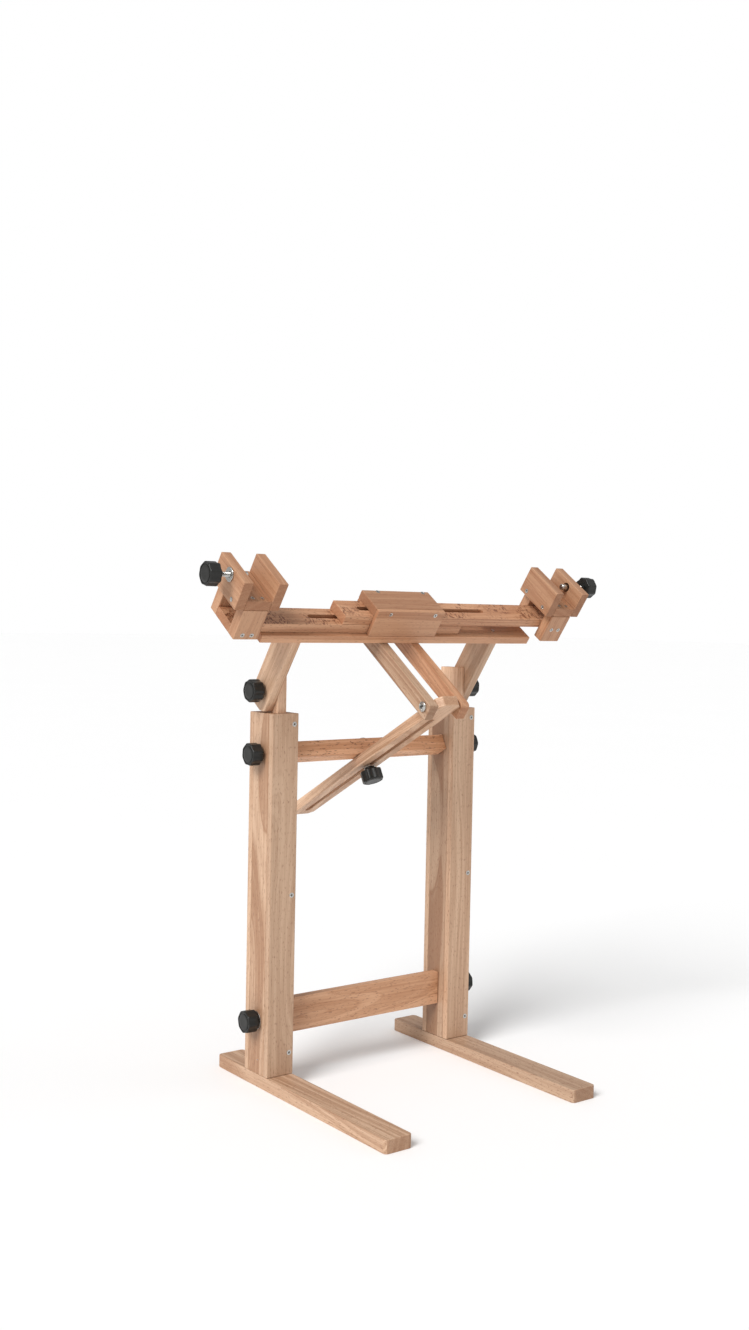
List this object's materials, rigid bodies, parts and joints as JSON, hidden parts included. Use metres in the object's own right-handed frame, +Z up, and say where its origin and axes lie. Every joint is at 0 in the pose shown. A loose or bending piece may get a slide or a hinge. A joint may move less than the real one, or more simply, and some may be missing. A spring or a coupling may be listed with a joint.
{
  "type": "needlework frame stand",
  "caption": "Height-adjustable floor stand in beech for an embroidery or needlework frame, with a tilting head, sliding clamp bars and a slotted brace.",
  "frame": {"origin": "on the floor, at the middle of the width and the depth of the whole stand, 62.7 mm in front of the columns", "axes": "+X to the stitcher's right, -Y towards the stitcher, +Z up"},
  "size_m": [0.636, 0.437, 0.6911],
  "materials": {
    "beech": "satin, lightly oiled beech with eased edges",
    "zinc_steel": "bright zinc plate",
    "black_plastic": "moulded, satin"
  },
  "bodies": {
    "base_frame": {"left_column_back": "beech", "left_column_front": "beech", "left_column_inner": "beech", "left_column_outer": "beech", "right_column_back": "beech", "right_column_front": "beech", "right_column_inner": "beech", "right_column_outer": "beech", "left_foot": "beech", "right_foot": "beech", "lower_rail": "beech"},
    "sliders": {"left_slider": "beech", "right_slider": "beech"},
    "head": {"base_board": "beech", "cover_front": "beech", "cover_back": "beech", "cover_top": "beech", "lock_bolt": "zinc_steel", "lock_nut": "zinc_steel", "left_strut": "beech", "right_strut": "beech", "left_arm": "beech", "right_arm": "beech"},
    "brace_pivot": {"brace_bolt": "zinc_steel", "brace_nut": "zinc_steel"},
    "brace": {"brace": "beech"},
    "rail_studs": {"left_rail_stud": "zinc_steel", "right_rail_stud": "zinc_steel"},
    "rail": {"upper_rail": "beech", "brace_stud": "zinc_steel"},
    "brace_washer": {"brace_washer": "zinc_steel"},
    "brace_knob": {"brace_knob": "black_plastic"},
    "left_tilt_knob": {"left_tilt_knob": "black_plastic"},
    "left_upper_knob": {"left_upper_knob": "black_plastic"},
    "left_lower_knob": {"left_lower_knob": "black_plastic"},
    "left_bar": {"left_bar": "beech", "left_clamp_front_leg": "beech", "left_clamp_back_leg": "beech", "left_clamp_block": "beech", "left_clamp_inner_cheek": "beech", "left_clamp_outer_cheek": "beech", "left_flanged_nut": "zinc_steel"},
    "left_pressure_foot": {"left_pressure_foot": "zinc_steel"},
    "left_clamp_screw": {"left_clamp_screw": "zinc_steel", "left_clamp_knob": "black_plastic"},
    "right_tilt_knob": {"right_tilt_knob": "black_plastic"},
    "right_upper_knob": {"right_upper_knob": "black_plastic"},
    "right_lower_knob": {"right_lower_knob": "black_plastic"},
    "right_bar": {"right_bar": "beech", "right_clamp_front_leg": "beech", "right_clamp_back_leg": "beech", "right_clamp_block": "beech", "right_clamp_inner_cheek": "beech", "right_clamp_outer_cheek": "beech", "right_flanged_nut": "zinc_steel"},
    "right_pressure_foot": {"right_pressure_foot": "zinc_steel"},
    "right_clamp_screw": {"right_clamp_screw": "zinc_steel", "right_clamp_knob": "black_plastic"}
  },
  "joints": [
    {"name": "height", "type": "slide", "parent": "base_frame", "child": "sliders", "axis": [0, 0, 1], "range_m": [0, 0.04]},
    {"name": "tilt", "type": "hinge", "parent": "sliders", "child": "head", "pos_m": [0, 0.06272, 0.5186], "axis": [1, 0, 0], "range_deg": [-15, 10]},
    {"name": "brace_pivot_turn", "type": "hinge", "parent": "head", "child": "brace_pivot", "pos_m": [-0.0045, -0.10541, 0.50552], "axis": [1, 0, 0], "range_deg": [-5, 5]},
    {"name": "brace_swing", "type": "hinge", "parent": "brace_pivot", "child": "brace", "pos_m": [-0.0045, -0.10541, 0.50552], "axis": [1, 0, 0], "range_deg": [-14, 2]},
    {"name": "rail_stud_turn", "type": "hinge", "parent": "base_frame", "child": "rail_studs", "pos_m": [0, 0.06272, 0.4364], "axis": [1, 0, 0], "range_deg": [-15, 10]},
    {"name": "rail_turn", "type": "hinge", "parent": "rail_studs", "child": "rail", "pos_m": [0, 0.06272, 0.4364], "axis": [1, 0, 0], "range_deg": [-14, 2]},
    {"name": "brace_washer_slide", "type": "slide", "parent": "rail", "child": "brace_washer", "axis": [0, -0.4736, -0.8807], "range_m": [0, 0.0055]},
    {"name": "brace_knob_turn", "type": "hinge", "parent": "brace_washer", "child": "brace_knob", "pos_m": [-0.0045, 0.04377, 0.40117], "axis": [0, -0.4736, -0.8807], "range_deg": [-720, 1440]},
    {"name": "left_tilt_knob_turn", "type": "hinge", "parent": "sliders", "child": "left_tilt_knob", "pos_m": [-0.18, 0.06272, 0.5186], "axis": [-1, 0, 0], "range_deg": [0, 720]},
    {"name": "left_upper_knob_turn", "type": "hinge", "parent": "rail_studs", "child": "left_upper_knob", "pos_m": [-0.18, 0.06272, 0.4364], "axis": [-1, 0, 0], "range_deg": [0, 720]},
    {"name": "left_lower_knob_turn", "type": "hinge", "parent": "base_frame", "child": "left_lower_knob", "pos_m": [-0.18, 0.06272, 0.0876], "axis": [-1, 0, 0], "range_deg": [0, 720]},
    {"name": "left_bar_slide", "type": "slide", "parent": "head", "child": "left_bar", "axis": [-1, 0, 0], "range_m": [-0.125, 0.06]},
    {"name": "left_pressure_foot_slide", "type": "slide", "parent": "left_bar", "child": "left_pressure_foot", "axis": [1, 0, 0], "range_m": [-0.0015, 0.012]},
    {"name": "left_clamp_screw_turn", "type": "hinge", "parent": "left_pressure_foot", "child": "left_clamp_screw", "pos_m": [-0.28, -0.04156, 0.66409], "axis": [1, 0, 0], "range_deg": [-541, 4321]},
    {"name": "right_tilt_knob_turn", "type": "hinge", "parent": "sliders", "child": "right_tilt_knob", "pos_m": [0.18, 0.06272, 0.5186], "axis": [1, 0, 0], "range_deg": [0, 720]},
    {"name": "right_upper_knob_turn", "type": "hinge", "parent": "rail_studs", "child": "right_upper_knob", "pos_m": [0.18, 0.06272, 0.4364], "axis": [1, 0, 0], "range_deg": [0, 720]},
    {"name": "right_lower_knob_turn", "type": "hinge", "parent": "base_frame", "child": "right_lower_knob", "pos_m": [0.18, 0.06272, 0.0876], "axis": [1, 0, 0], "range_deg": [0, 720]},
    {"name": "right_bar_slide", "type": "slide", "parent": "head", "child": "right_bar", "axis": [1, 0, 0], "range_m": [-0.125, 0.06]},
    {"name": "right_pressure_foot_slide", "type": "slide", "parent": "right_bar", "child": "right_pressure_foot", "axis": [-1, 0, 0], "range_m": [-0.0015, 0.012]},
    {"name": "right_clamp_screw_turn", "type": "hinge", "parent": "right_pressure_foot", "child": "right_clamp_screw", "pos_m": [0.28, -0.04156, 0.66409], "axis": [-1, 0, 0], "range_deg": [-541, 4321]}
  ],
  "couplings": [
    {"joint": "brace_pivot_turn", "follows": "tilt", "ratio": -0.2155},
    {"joint": "brace_swing", "follows": "height", "rad_per_m": -4.9916},
    {"joint": "rail_stud_turn", "follows": "tilt", "ratio": 0.7845},
    {"joint": "rail_turn", "follows": "height", "rad_per_m": -4.9916},
    {"joint": "brace_washer_slide", "follows": "height", "ratio": 0.13},
    {"joint": "left_clamp_screw_turn", "follows": "left_pressure_foot_slide", "rad_per_m": 6283.2},
    {"joint": "right_clamp_screw_turn", "follows": "right_pressure_foot_slide", "rad_per_m": 6283.2}
  ]
}
